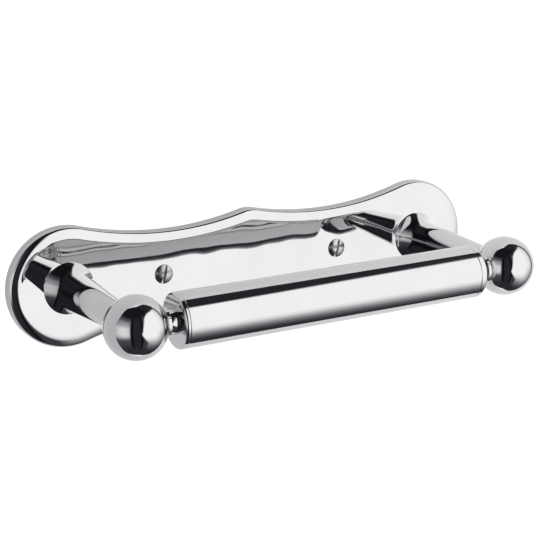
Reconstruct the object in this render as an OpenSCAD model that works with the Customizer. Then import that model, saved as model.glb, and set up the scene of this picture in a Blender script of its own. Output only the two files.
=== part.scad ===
// Wall toilet roll holder: a scalloped backplate, two turned posts that end in
// balls, and a roller whose right hand pin is sprung so that it can be released.
// Plus X runs along the plate, plus Y goes into the wall and plus Z is up.
// The origin is the middle of the plate's back face, on the wall.

/* [Backplate] */
// Distance between the axes of the two posts
post_spacing = 170; // [160:1:190]
// Radius of the round lobe behind each post
lobe_r = 25.3; // [24:0.1:27]
// Half height of the plate at its narrow waists
waist_half = 18.3; // [17:0.1:19]
// Distance from the middle of the plate to each waist
waist_x = 37; // [34:0.5:40]
// Radius that rounds the peak at the middle of each long edge
peak_r = 15; // [10:0.5:20]
// Thickness of the plate at its flat field
plate_t = 6.5; // [6:0.1:8]
// Width of the domed border that runs inside the outline
border_w = 5.2; // [4.5:0.1:6.5]
// Radius of the outer edge, between the side wall and the border
edge_r = 1.8; // [1.2:0.1:2]
// Tilt of the border where it runs into the outer edge, in degrees
border_tilt = 20; // [14:1:24]

/* [Posts] */
// Largest radius of the round foot of a post
foot_r = 10.95; // [10.2:0.05:11.5]
// Radius of the bead round the foot
bead_r = 3; // [2.6:0.1:3.4]
// Height of the bead's widest place above the plate
bead_h = 1.8; // [1.4:0.1:2.2]
// Radius of the hollow cove between the bead and the shank
cove_r = 12; // [8:0.5:15]
// Radius that the shank's cone would have at the plate
shank_root_r = 8.55; // [8.2:0.05:9]
// Radius that the shank's cone would have at the middle of the ball
shank_tip_r = 4.35; // [4:0.05:4.6]
// Radius of the small hollow where the shank spreads to meet the ball
neck_r = 2.5; // [2:0.1:3.5]
// Distance from the plate's front face to the middle of a ball
ball_reach = 66.6; // [60:0.5:75]

/* [Balls] */
// Radius of a ball
ball_r = 12.4; // [12:0.1:13]
// Radius of the flat on a ball where the shank stands
ball_flat_r = 5.95; // [5.8:0.05:6.4]
// Radius of the neck that the collar's flare runs towards
collar_r = 5.7; // [5.5:0.05:6]
// Height of the collar's end above the ball, at the radius of that neck
collar_stand = 1.09; // [0.9:0.01:1.3]
// Radius of the hollow flare between the collar and the ball
flare_r = 5; // [4:0.5:6]

/* [Roller] */
// Outer radius of the roller
roller_r = 11; // [10.5:0.1:12]
// Wall of the roller's tube
tube_wall = 1; // [0.8:0.1:1.3]
// Width of the rim of an end cap
cap_rim = 3; // [2.6:0.1:3.4]
// Radius on the outer corner of an end cap
cap_corner_r = 0.9; // [0.5:0.1:1.2]
// Length of the spigot that holds an end cap in the tube
spigot_len = 8; // [6:0.5:10]
// Thickness of the left cap's web, between the fixed pin and its nut
cap_web = 4.5; // [3.5:0.5:5]
// Wall of the left cap's cup
cup_wall = 1.5; // [1:0.1:2]
// Travel to the right that releases the roller
release_travel = 4.15; // [3.8:0.05:4.6]

/* [Pins and spring] */
// Radius of the nose that turns in a ball's socket
nose_r = 4; // [3.6:0.1:4.3]
// Radius of the shoulder behind each nose
shoulder_r = 5.15; // [4.9:0.05:5.4]
// Thickness of the fixed pin's shoulder
shoulder_t = 2.2; // [1.6:0.1:3]
// Radius of the threaded stem of the fixed pin
stem_r = 3; // [2.5:0.5:3.5]
// Radius of the flange that stops the sprung pin in its cap
flange_r = 8.2; // [7.8:0.1:8.8]
// Thickness of that flange
flange_t = 2; // [1.5:0.1:3]
// Room between the flange and the right cap
pin_play = 4; // [2:0.5:6]
// Length of the sprung pin's guide inside the spring
guide_len = 11.5; // [8:0.5:13]
// Radius of that guide
guide_r = 4.2; // [3.6:0.1:4.4]
// Mean radius of the spring
spring_mean_r = 5.6; // [5.4:0.1:6.4]
// Thickness of the spring's wire
wire_d = 1.2; // [0.9:0.1:1.4]
// Length of the space that the spring fills
spring_room = 29.5; // [27:0.5:33]
// Number of open turns of the spring
open_turns = 7; // [5:1:8]
// Clear space between the wires of each end turn
end_turn_gap = 0.55; // [0.45:0.05:0.7]
// Thickness of the spring's seat in the tube
seat_t = 3; // [2:0.5:4]
// Length of the seat's nose inside the spring
seat_nose = 2.5; // [2:0.5:4]
// Width of the fixed pin's nut across its flats
nut_flats = 10; // [9:0.5:11]
// Height of that nut
nut_h = 5; // [4:0.5:6]
// Radius of the washer under the nut
washer_r = 6; // [5.5:0.1:6.5]
// Thickness of the washer
washer_t = 1.2; // [0.8:0.1:1.6]

/* [Fixings] */
// Distance between the two wall screws
screw_spacing = 85; // [80:0.5:90]
// Radius of a wall screw's head
screw_head_r = 4.1; // [3.8:0.1:4.4]
// Radius over the thread of a wall screw
screw_r = 2.1; // [1.8:0.1:2.4]
// Radius of the plain shank under the head of a wall screw
screw_shank_r = 1.7; // [1.5:0.05:1.75]
// Length of a wall screw from the plate's front face to its point
screw_len = 32; // [25:1:40]
// Height of the raised dome on a wall screw
screw_dome = 1.2; // [0.8:0.1:1.5]
// Length of the point of a wall screw
point_len = 6; // [4:0.5:8]
// Width of the slot in a screw
slot_w = 1.2; // [0.9:0.1:1.4]
// Depth of the slot in a screw
slot_depth = 1.4; // [1:0.1:1.6]
// Turn of the left wall screw's slot from upright, in degrees
left_slot_turn = 12; // [0:1:90]
// Turn of the right wall screw's slot from upright, in degrees
right_slot_turn = 6; // [0:1:90]
// Radius over the thread of the studs and post screws
stud_r = 2.5; // [2:0.1:2.7]
// Depth that a stud goes into the post and into the ball
stud_depth = 6; // [5:0.25:6.5]
// Depth that a post screw goes into its post
post_screw_depth = 10; // [7:0.5:14]
// Radius of the countersunk head of a post screw
post_head_r = 4.6; // [4.2:0.1:5]

/* [Hidden] */
$fn = 96;
// Steps in a rounded part of a turned profile
ARC_STEPS = 8;
// Steps in the plate's round edge and domed border, and along its outline
EDGE_STEPS = 5;
DOME_STEPS = 5;
LOBE_STEPS = 64;
WAIST_STEPS = 24;
PEAK_STEPS = 6;
// Sides of a nut
NUT_SIDES = 6;
// Overrun of every cut past the surface that it leaves
cut_over = 2;
// Clear space round a thread, cone or spigot that is fitted by hand
fit_gap = 0.05;
// Clear space round a pin that turns or slides
run_gap = 0.1;
// Clear space left in front of a shoulder, nose, spring or screw head
end_gap = 0.3;
// Clear space round the shank of a screw
hole_gap = 0.25;
// Unthreaded depth below a stud or post screw
tap_extra = 1.5;
// Bevel on pins, studs and the ends of threads
pin_bevel = 0.5;
// Bevel at the mouth of a socket
socket_bevel = 0.3;
// Bevel on each side of the seam between the tube and an end cap
seam_bevel = 0.2;
// Straight rim of a countersunk head
head_land = 0.3;
// Depth to which the foot of the collar's flare is sunk in the ball
flare_sink = 0.15;

// Plate outline: each waist arc touches its lobe, and its centre lies outside
post_x = post_spacing / 2;
waist_r = (pow(post_x - waist_x, 2) + pow(waist_half, 2) - pow(lobe_r, 2)) / (2 * (lobe_r - waist_half));
waist_z = waist_half + waist_r;
peak_z = waist_z - sqrt(pow(waist_r + peak_r, 2) - pow(waist_x, 2));
lobe_turn = atan2(waist_z, waist_x - post_x);
peak_turn = asin(waist_x / (waist_r + peak_r));

// Plate section: a side wall, a round edge and a domed border up to the field
edge_turn = 90 - border_tilt;
dome_r = (border_w - edge_r * (1 - cos(edge_turn))) / sin(border_tilt);
wall_h = plate_t - dome_r * (1 - cos(border_tilt)) - edge_r * sin(edge_turn);

// The plate's section, as distance in from the outline and height from the wall
plate_section = concat(
    [[0, 0]],
    [for (i = [0 : EDGE_STEPS]) let (turn = edge_turn * i / EDGE_STEPS)
        [edge_r * (1 - cos(turn)), wall_h + edge_r * sin(turn)]],
    [for (i = [1 : DOME_STEPS]) let (tilt = border_tilt * (1 - i / DOME_STEPS))
        [border_w - dome_r * sin(tilt), plate_t - dome_r * (1 - cos(tilt))]]
);
// A stretch of the outline, as points with the direction that leads into the plate
function stretch(mid, r, from, to, steps, inward) =
    [for (i = [0 : steps - 1]) let (turn = from + (to - from) * i / steps)
        [mid + r * [cos(turn), sin(turn)], inward * [cos(turn), sin(turn)]]];
// Half of the outline: a lobe, a waist, a peak and the next waist, which turns back
half_outline = concat(
    stretch([post_x, 0], lobe_r, -lobe_turn, lobe_turn, LOBE_STEPS, -1),
    stretch([waist_x, waist_z], waist_r, 180 + lobe_turn, 270 - peak_turn, WAIST_STEPS, 1),
    stretch([0, peak_z], peak_r, 90 - peak_turn, 90 + peak_turn, PEAK_STEPS, -1),
    stretch([-waist_x, waist_z], waist_r, 270 + peak_turn, 360 - lobe_turn, WAIST_STEPS, 1)
);
outline = concat(half_outline, [for (p = half_outline) -p]);
plate_points = [for (s = plate_section, p = outline) concat(p[0] + s[0] * p[1], s[1])];
// The point below or above point j, and strips between such pairs that fill a flat face
function across(j) = (LOBE_STEPS - j + 2 * len(outline)) % len(outline);
function strips(start) =
    let (base = [start, start, start], first = LOBE_STEPS / 2, last = first + len(outline) / 2)
    concat(
        [for (j = [first + 1 : last - 1]) base + [j, j + 1, across(j)]],
        [for (j = [first : last - 2]) base + [j + 1, across(j + 1), across(j)]]
    );
plate_faces = let (n = len(outline), m = len(plate_section)) concat(
    strips(0),
    [for (f = strips((m - 1) * n)) [f[2], f[1], f[0]]],
    [for (k = [0 : m - 2], j = [0 : n - 1]) let (i = (j + 1) % n)
        [k * n + j, (k + 1) * n + j, (k + 1) * n + i]],
    [for (k = [0 : m - 2], j = [0 : n - 1]) let (i = (j + 1) % n)
        [k * n + j, (k + 1) * n + i, k * n + i]]
);

// Posts: the cone, and the arcs that touch it beside the bead and at the ball
foot_y = -plate_t;
ball_y = foot_y - ball_reach;
taper = (shank_root_r - shank_tip_r) / ball_reach;
taper_turn = atan(taper);
shank_flat = sqrt(pow(ball_r, 2) - pow(ball_flat_r, 2));
shank_len = ball_reach - shank_flat;
// Middle of an arc that touches the cone, and a circle about p on side way of it
function cone_arc_mid(p, p_r, r, way) =
    let (
        line = shank_root_r + r / cos(taper_turn) - p[0],
        b = p[1] + taper * line,
        q = pow(p[1], 2) + pow(line, 2) - pow(p_r + r, 2),
        k = 1 + pow(taper, 2),
        h = (b + way * sqrt(pow(b, 2) - k * q)) / k
    )
    [p[0] + line - taper * h, h];
bead_mid = [foot_r - bead_r, bead_h];
cove_mid = cone_arc_mid(bead_mid, bead_r, cove_r, 1);
cove_turn = atan2(cove_mid[1] - bead_mid[1], cove_mid[0] - bead_mid[0]);
neck_mid = cone_arc_mid([ball_flat_r, shank_len], 0, neck_r, -1);
neck_turn = atan2(shank_len - neck_mid[1], ball_flat_r - neck_mid[0]);

// Sockets and the pins in them
socket_r = nose_r + run_gap;
collar_reach = sqrt(pow(ball_r, 2) - pow(collar_r, 2)) + collar_stand;
mouth_x = post_x - collar_reach;
shoulder_x = mouth_x - end_gap;
nose_len = release_travel;
flare_mid_r = collar_r + flare_r;
flare_mid_h = sqrt(pow(ball_r + flare_r, 2) - pow(flare_mid_r, 2));
flare_from = 180 + atan2(flare_mid_h, flare_mid_r);
flare_to = 180 + asin((flare_mid_h - collar_reach) / flare_r);

// Roller: the spring holds its left cap against the fixed pin's shoulder
face_left = shoulder_t - shoulder_x;
face_right = shoulder_x - release_travel;
seam_left = face_left + cap_rim;
seam_right = face_right - cap_rim;
tube_len = seam_right - seam_left;
tube_r = roller_r - tube_wall;
spigot_r = tube_r - fit_gap;
cup_r = spigot_r - cup_wall;
flange_x = seam_right - spigot_len - pin_play - flange_t;
seat_x = flange_x - spring_room;
nut_x = face_left + cap_web + washer_t;

// Wall screws: the cone sinks into the plate as far as the head's rim, and the
// thread starts behind the plate
screw_cone_h = screw_head_r - screw_shank_r;
thread_top = screw_shank_r - screw_r - end_gap;
screw_top = plate_t + head_land + screw_dome;
dome_sphere_r = (pow(screw_head_r, 2) + pow(screw_dome, 2)) / (2 * screw_dome);
dome_half = asin(screw_head_r / dome_sphere_r);
screw_x = screw_spacing / 2;
// Post screws: sunk in the back of the plate
post_rim = end_gap + head_land;

// Spring: a tight turn at each end and open turns between, as one tube
wire_r = wire_d / 2;
end_pitch = wire_d + end_turn_gap;
spring_run = spring_room - wire_d - 2 * end_gap;
open_pitch = (spring_run - 2 * end_pitch) / open_turns;
CURL_RINGS = 8;
WIRE_SIDES = 6;
spring_rings = CURL_RINGS * (open_turns + 2);
function spring_rise(t) =
    t < 1 ? t * end_pitch
    : t < open_turns + 1 ? end_pitch + (t - 1) * open_pitch
    : spring_run - (open_turns + 2 - t) * end_pitch;
function spring_point(t, radial, along) = [
    (spring_mean_r + radial) * cos(360 * t),
    (spring_mean_r + radial) * sin(360 * t),
    spring_rise(t) + along
];
spring_tube = [
    for (i = [0 : spring_rings], k = [0 : WIRE_SIDES - 1])
        let (t = i / CURL_RINGS, turn = 360 * k / WIRE_SIDES)
        spring_point(t, wire_r * cos(turn), wire_r * sin(turn))
];
spring_faces = concat(
    [for (k = [1 : WIRE_SIDES - 2]) [0, k + 1, k]],
    [for (k = [1 : WIRE_SIDES - 2]) let (a = spring_rings * WIRE_SIDES) [a, a + k, a + k + 1]],
    [for (i = [0 : spring_rings - 1], k = [0 : WIRE_SIDES - 1])
        let (a = i * WIRE_SIDES, b = (k + 1) % WIRE_SIDES)
        [a + k, a + WIRE_SIDES + b, a + WIRE_SIDES + k]],
    [for (i = [0 : spring_rings - 1], k = [0 : WIRE_SIDES - 1])
        let (a = i * WIRE_SIDES, b = (k + 1) % WIRE_SIDES)
        [a + k, a + b, a + WIRE_SIDES + b]]
);
// Least distance between the wire and the next turn of it, measured on the points
spring_gap = min([
    for (i = [0 : spring_rings - CURL_RINGS])
        for (j = [i + CURL_RINGS - 2 : min(i + CURL_RINGS + 2, spring_rings)])
            norm(spring_point(i / CURL_RINGS, 0, 0) - spring_point(j / CURL_RINGS, 0, 0)) - wire_d
]);
echo(spring_least_gap = spring_gap);

// Points of an arc about a middle, from one angle to another
function arc(mid, r, from, to) =
    [for (i = [0 : ARC_STEPS]) let (turn = from + (to - from) * i / ARC_STEPS)
        [mid[0] + r * cos(turn), mid[1] + r * sin(turn)]];

// A turned piece whose axis runs out from the wall at x, with heights from the wall
module turned_out(x, profile) {
    translate([x, 0, 0])
        rotate([90, 0, 0])
            rotate_extrude()
                polygon(profile);
}

// A turned piece on the roller's axis, whose profile starts at x and runs to the right
module turned_along(x, profile) {
    translate([x, ball_y, 0])
        rotate([0, 90, 0])
            rotate_extrude()
                polygon(profile);
}

module post_screw_hole(x) {
    mouth_r = post_head_r + fit_gap;
    hole_r = stud_r + hole_gap;
    turned_out(x, [
        [0, -cut_over], [mouth_r, -cut_over], [mouth_r, post_rim], [hole_r, post_rim + mouth_r - hole_r],
        [hole_r, plate_t + cut_over], [0, plate_t + cut_over]
    ]);
}

module wall_screw_hole(x) {
    mouth_r = screw_head_r + fit_gap;
    hole_r = screw_r + hole_gap;
    turned_out(x, [
        [0, -cut_over], [hole_r, -cut_over], [hole_r, plate_t - mouth_r + hole_r],
        [mouth_r + cut_over, plate_t + cut_over], [0, plate_t + cut_over]
    ]);
}

module backplate() {
    color("gainsboro")
    difference() {
        rotate([90, 0, 0])
            polyhedron(plate_points, plate_faces);
        for (side = [-1, 1]) {
            post_screw_hole(side * post_x);
            wall_screw_hole(side * screw_x);
        }
    }
}

// Post: bead, cove, tapered shank and spread neck, tapped at both ends
module post(side) {
    tap_r = stud_r + fit_gap;
    foot_turn = asin(bead_h / bead_r);
    low_tap = post_screw_depth + tap_extra;
    high_tap = shank_len - stud_depth - tap_extra;
    profile = concat(
        [[tap_r, 0]],
        arc(bead_mid, bead_r, -foot_turn, cove_turn),
        arc(cove_mid, cove_r, 180 + cove_turn, 180 + taper_turn),
        arc(neck_mid, neck_r, 180 + taper_turn, neck_turn),
        [[tap_r, shank_len], [tap_r, high_tap], [0, high_tap], [0, low_tap], [tap_r, low_tap]]
    );
    color("silver")
    turned_out(side * post_x, [for (p = profile) [p[0], p[1] + plate_t]]);
}

// Ball: a collar with the pin's socket, a flat for the shank and a tapped hole
module ball(side) {
    tap_r = stud_r + fit_gap;
    flare = arc([flare_mid_r, flare_mid_h], flare_r, flare_from, flare_to);
    foot = flare[0] * (1 - flare_sink / ball_r);
    color("lightgray")
    translate([side * post_x, ball_y, 0])
        difference() {
            union() {
                rotate([0, -90 * side, 0])
                    sphere(ball_r);
                rotate([0, -90 * side, 0])
                    rotate_extrude()
                        polygon(concat(
                            [[0, foot[1]], foot], [for (i = [1 : ARC_STEPS]) flare[i]], [[0, collar_reach]]
                        ));
            }
            rotate([0, -90 * side, 0])
                translate([0, 0, collar_reach])
                    rotate_extrude()
                        polygon([
                            [0, -nose_len], [socket_r, -nose_len], [socket_r, -socket_bevel],
                            [socket_r + socket_bevel + cut_over, cut_over], [0, cut_over]
                        ]);
            rotate([-90, 0, 0])
                translate([0, 0, shank_flat])
                    cylinder(r = ball_r, h = ball_r);
            rotate([-90, 0, 0])
                translate([0, 0, shank_flat - stud_depth - tap_extra])
                    cylinder(r = tap_r, h = stud_depth + tap_extra + cut_over);
        }
}

// Stud: half in the ball and half in the end of the shank
module ball_stud(side) {
    joint_h = plate_t + shank_len;
    end_r = stud_r - pin_bevel;
    color("darkgray")
    turned_out(side * post_x, [
        [0, joint_h - stud_depth], [end_r, joint_h - stud_depth], [stud_r, joint_h - stud_depth + pin_bevel],
        [stud_r, joint_h + stud_depth - pin_bevel], [end_r, joint_h + stud_depth], [0, joint_h + stud_depth]
    ]);
}

// Post screw: a slotted countersunk screw, let in from the back of the plate
module post_screw(side) {
    tip_h = plate_t + post_screw_depth;
    color("darkgray")
    difference() {
        turned_out(side * post_x, [
            [0, end_gap], [post_head_r, end_gap], [post_head_r, post_rim],
            [stud_r, post_rim + post_head_r - stud_r], [stud_r, tip_h - pin_bevel],
            [stud_r - pin_bevel, tip_h], [0, tip_h]
        ]);
        translate([side * post_x - post_head_r - cut_over, -end_gap - slot_depth, -slot_w / 2])
            cube([2 * (post_head_r + cut_over), slot_depth + cut_over, slot_w]);
    }
}

// Wall screw: a raised countersunk head with a slot, a plain shank and a thread
module wall_screw(side, turn) {
    dome = [for (i = [0 : ARC_STEPS]) let (a = dome_half * (1 - i / ARC_STEPS))
        [dome_sphere_r * sin(a), screw_top - dome_sphere_r * (1 - cos(a))]];
    point_h = plate_t - screw_len;
    color("silver")
    difference() {
        turned_out(side * screw_x, concat(
            [[0, point_h], [screw_r, point_h + point_len], [screw_r, thread_top]],
            [[screw_shank_r, -end_gap], [screw_shank_r, plate_t - screw_cone_h]],
            [[screw_head_r, plate_t]], dome
        ));
        translate([side * screw_x, -screw_top, 0])
            rotate([0, turn, 0])
                cube([slot_w, 2 * slot_depth, 2 * (screw_head_r + cut_over)], center = true);
    }
}

module roller_tube() {
    color("gainsboro")
    turned_along(seam_left, [
        [tube_r, 0], [roller_r - seam_bevel, 0], [roller_r, seam_bevel], [roller_r, tube_len - seam_bevel],
        [roller_r - seam_bevel, tube_len], [tube_r, tube_len]
    ]);
}

// Outside of an end cap, from its flat face round the corner to the spigot's end
function cap_outside(hole_r) = concat(
    [[hole_r, 0]],
    arc([roller_r - cap_corner_r, cap_corner_r], cap_corner_r, -90, 0),
    [[roller_r, cap_rim - seam_bevel], [roller_r - seam_bevel, cap_rim], [spigot_r, cap_rim]],
    [[spigot_r, cap_rim + spigot_len]]
);

// Left cap: a cup, with room for the fixed pin's nut
module left_end_cap() {
    hole_r = stem_r + fit_gap;
    color("silver")
    turned_along(face_left, concat(
        cap_outside(hole_r), [[cup_r, cap_rim + spigot_len], [cup_r, cap_web], [hole_r, cap_web]]
    ));
}

// Right cap: solid, to guide the sprung pin
module right_end_cap() {
    hole_r = shoulder_r + run_gap;
    color("silver")
    translate([face_right, ball_y, 0])
        rotate([0, -90, 0])
            rotate_extrude()
                polygon(concat(cap_outside(hole_r), [[hole_r, cap_rim + spigot_len]]));
}

// Fixed pin: its shoulder bears on the left cap and its stem takes the nut
module fixed_pin() {
    root = nose_len + shoulder_t;
    tip = root + cap_web + washer_t + nut_h + pin_bevel;
    color("lightgray")
    turned_along(-shoulder_x - nose_len, [
        [0, 0], [nose_r - pin_bevel, 0], [nose_r, pin_bevel], [nose_r, nose_len], [shoulder_r, nose_len],
        [shoulder_r, root], [stem_r, root], [stem_r, tip - pin_bevel], [stem_r - pin_bevel, tip], [0, tip]
    ]);
}

module pin_washer() {
    hole_r = stem_r + run_gap;
    color("dimgray")
    turned_along(face_left + cap_web, [
        [hole_r, 0], [washer_r, 0], [washer_r, washer_t], [hole_r, washer_t]
    ]);
}

// Nut: six flats, with both ends turned to a bevel
module pin_nut() {
    flat_r = nut_flats / 2;
    corner_r = flat_r / cos(180 / NUT_SIDES);
    bevel_r = corner_r + cut_over;
    bevel_h = (bevel_r - flat_r) / 2;
    color("darkgray")
    difference() {
        intersection() {
            translate([nut_x, ball_y, 0])
                rotate([0, 90, 0])
                    cylinder(r = corner_r, h = nut_h, $fn = NUT_SIDES);
            turned_along(nut_x, [
                [0, 0], [flat_r, 0], [bevel_r, bevel_h],
                [bevel_r, nut_h - bevel_h], [flat_r, nut_h], [0, nut_h]
            ]);
        }
        translate([nut_x - cut_over, ball_y, 0])
            rotate([0, 90, 0])
                cylinder(r = stem_r + fit_gap, h = nut_h + 2 * cut_over);
    }
}

// Sprung pin: the nose, the sleeve in its cap, the flange and the spring's guide
module sprung_pin() {
    sleeve = flange_x + flange_t;
    guide = flange_x - guide_len;
    tip = shoulder_x + nose_len;
    color("lightgray")
    turned_along(0, [
        [0, guide], [guide_r - pin_bevel, guide], [guide_r, guide + pin_bevel], [guide_r, flange_x],
        [flange_r, flange_x], [flange_r, sleeve], [shoulder_r, sleeve], [shoulder_r, shoulder_x],
        [nose_r, shoulder_x], [nose_r, tip - pin_bevel], [nose_r - pin_bevel, tip], [0, tip]
    ]);
}

module pin_spring() {
    color("slategray")
    translate([seat_x + end_gap + wire_r, ball_y, 0])
        rotate([0, 90, 0])
            polyhedron(spring_tube, spring_faces);
}

// Spring seat: a plug fast in the tube, with a nose that centres the spring
module spring_seat() {
    nose = spring_mean_r * cos(180 / CURL_RINGS) - wire_r - end_gap;
    tip = seat_t + seat_nose;
    color("darkgray")
    turned_along(seat_x - seat_t, [
        [0, 0], [spigot_r, 0], [spigot_r, seat_t], [nose, seat_t],
        [nose, tip - pin_bevel], [nose - pin_bevel, tip], [0, tip]
    ]);
}

backplate();
post(-1);  // left_post
post(1);  // right_post
ball(-1);  // left_ball
ball(1);  // right_ball
ball_stud(-1);  // left_ball_stud
ball_stud(1);  // right_ball_stud
post_screw(-1);  // left_post_screw
post_screw(1);  // right_post_screw
wall_screw(-1, left_slot_turn);  // left_wall_screw
wall_screw(1, right_slot_turn);  // right_wall_screw
roller_tube();
left_end_cap();
right_end_cap();
fixed_pin();
pin_washer();
pin_nut();
sprung_pin();
pin_spring();
spring_seat();
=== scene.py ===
"""Toilet roll holder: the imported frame, dressed with chrome pieces and set in a small studio."""

import math

import bmesh
import bpy
import numpy as np
from mathutils import Matrix, Vector
from mathutils.geometry import tessellate_polygon


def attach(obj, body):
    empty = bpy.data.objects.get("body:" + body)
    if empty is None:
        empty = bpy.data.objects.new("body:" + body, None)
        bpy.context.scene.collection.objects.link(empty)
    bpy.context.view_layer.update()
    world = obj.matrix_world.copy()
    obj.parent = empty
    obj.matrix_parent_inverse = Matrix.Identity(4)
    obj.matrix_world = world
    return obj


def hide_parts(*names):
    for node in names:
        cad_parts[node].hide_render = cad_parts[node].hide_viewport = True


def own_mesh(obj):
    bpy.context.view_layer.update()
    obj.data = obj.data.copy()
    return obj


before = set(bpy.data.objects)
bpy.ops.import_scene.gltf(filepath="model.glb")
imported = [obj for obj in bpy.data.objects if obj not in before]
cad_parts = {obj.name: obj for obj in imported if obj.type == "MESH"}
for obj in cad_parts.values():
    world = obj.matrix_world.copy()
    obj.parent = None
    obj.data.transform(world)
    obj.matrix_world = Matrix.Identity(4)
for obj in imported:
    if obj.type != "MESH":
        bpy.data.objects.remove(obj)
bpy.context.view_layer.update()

MM = 0.001

# Sizes in millimetres, the same as in the CAD source. The posts' feet, the balls' collars and the
# left cap were read again from the photo's reflections, and differ from it by up to 1.1 mm.
POST_X = 85.0
BALL_Y = -73.1
PLATE_T = 6.5
BALL_R = 12.4
RUN_GAP, FIT_GAP, END_GAP, HOLE_GAP = 0.1, 0.05, 0.3, 0.25
FINE = 0.12  # radius on a crisp turned edge
SAME_POINT, ON_AXIS = 1e-5, 1e-6
SMOOTH_TURN = math.radians(12)  # a corner that turns less belongs to a curve
FILLET_SHARE = 0.4  # how much of a side a fillet may take


def unit(v):
    return v / np.linalg.norm(v)


# Profiles -----------------------------------------------------------------


def arc(mid, r, start, end, steps=24, side=1):
    """Points of an arc with their normals. Side 1 faces away from the middle, and -1 faces it."""
    out = []
    for i in range(steps + 1):
        a = math.radians(start + (end - start) * i / steps)
        c, s = math.cos(a), math.sin(a)
        out.append((mid[0] + r * c, mid[1] + r * s, side * c, side * s))
    return out


def soften(corners, fillet=FINE, closed=True, way=None, steps=4):
    """Rounds the corners of a profile, and returns it as (point, normal) pairs.

    The profile is made of (r, h) corners and of (r, h, nr, nh) points of arcs.
    """
    pts, fixed = [], []
    for c in corners:
        if pts and math.dist(pts[-1], c[:2]) < SAME_POINT:
            continue
        pts.append(np.array(c[:2], float))
        fixed.append(np.array(c[2:], float) if len(c) == 4 else None)
    if closed and math.dist(pts[0], pts[-1]) < SAME_POINT:
        pts.pop()
        fixed.pop()
    n = len(pts)
    if way is None:
        area = sum(pts[i - 1][0] * pts[i][1] - pts[i][0] * pts[i - 1][1] for i in range(n))
        way = 1 if area > 0 else -1

    def side(d):
        return way * np.array((d[1], -d[0]))

    out = []
    for i in range(n):
        p, a, b = pts[i], pts[i - 1], pts[(i + 1) % n]
        if not closed and i in (0, n - 1):
            d = unit(b - p) if i == 0 else unit(p - a)
            out.append((p, side(d)))
            continue
        d0, d1 = unit(p - a), unit(b - p)
        if fixed[i] is not None:
            tangent = np.array((-fixed[i][1], fixed[i][0]))
            before, after = fixed[i - 1] is not None, fixed[(i + 1) % n] is not None
            along = d0 if before else d1
            if tangent @ along < 0:
                tangent = -tangent
            d0 = tangent if before else d0
            d1 = tangent if after else d1
        n0, n1 = side(d0), side(d1)
        if p[0] < ON_AXIS:
            out.append((p, n0 if a[0] > ON_AXIS else n1))
            continue
        turn = math.atan2(d0[0] * d1[1] - d0[1] * d1[0], d0 @ d1)
        if abs(turn) < SMOOTH_TURN:
            out.append((p, fixed[i] if fixed[i] is not None else unit(n0 + n1)))
            continue
        half = math.tan(abs(turn) / 2)
        room = min(np.linalg.norm(p - a), np.linalg.norm(b - p))
        t = min(fillet * half, FILLET_SHARE * room)
        rad = t / half
        bulge = 1 if turn * way > 0 else -1
        mid = p - d0 * t - bulge * n0 * rad
        for k in range(steps + 1):
            w = turn * k / steps
            c, s = math.cos(w), math.sin(w)
            nn = np.array((c * n0[0] - s * n0[1], s * n0[0] + c * n0[1]))
            out.append((mid + bulge * rad * nn, nn))
    return out


# Placing: a turned piece's x and y lie across its axis, and its z runs along it
def outwards(x):
    """The axis leaves the wall at x."""
    return Matrix(((1, 0, 0, x), (0, 0, -1, 0), (0, 1, 0, 0), (0, 0, 0, 1)))


def rightwards(x):
    """The axis is the roller's, and starts at x towards the right."""
    return Matrix(((0, 0, 1, x), (0, 1, 0, BALL_Y), (-1, 0, 0, 0), (0, 0, 0, 1)))


def leftwards(x):
    """The same towards the left."""
    return Matrix(((0, 0, -1, x), (0, 1, 0, BALL_Y), (1, 0, 0, 0), (0, 0, 0, 1)))


# Meshes -------------------------------------------------------------------


def add_object(name, data):
    obj = bpy.data.objects.new(name, data)
    bpy.context.scene.collection.objects.link(obj)
    return obj


def grid_faces(rows, columns):
    """Faces of a sheet whose vertices are listed row by row."""
    corners = [(i, j) for i in range(rows - 1) for j in range(columns - 1)]
    starts = [i * columns + j for i, j in corners]
    return [(at, at + 1, at + columns + 1, at + columns) for at in starts]


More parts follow.
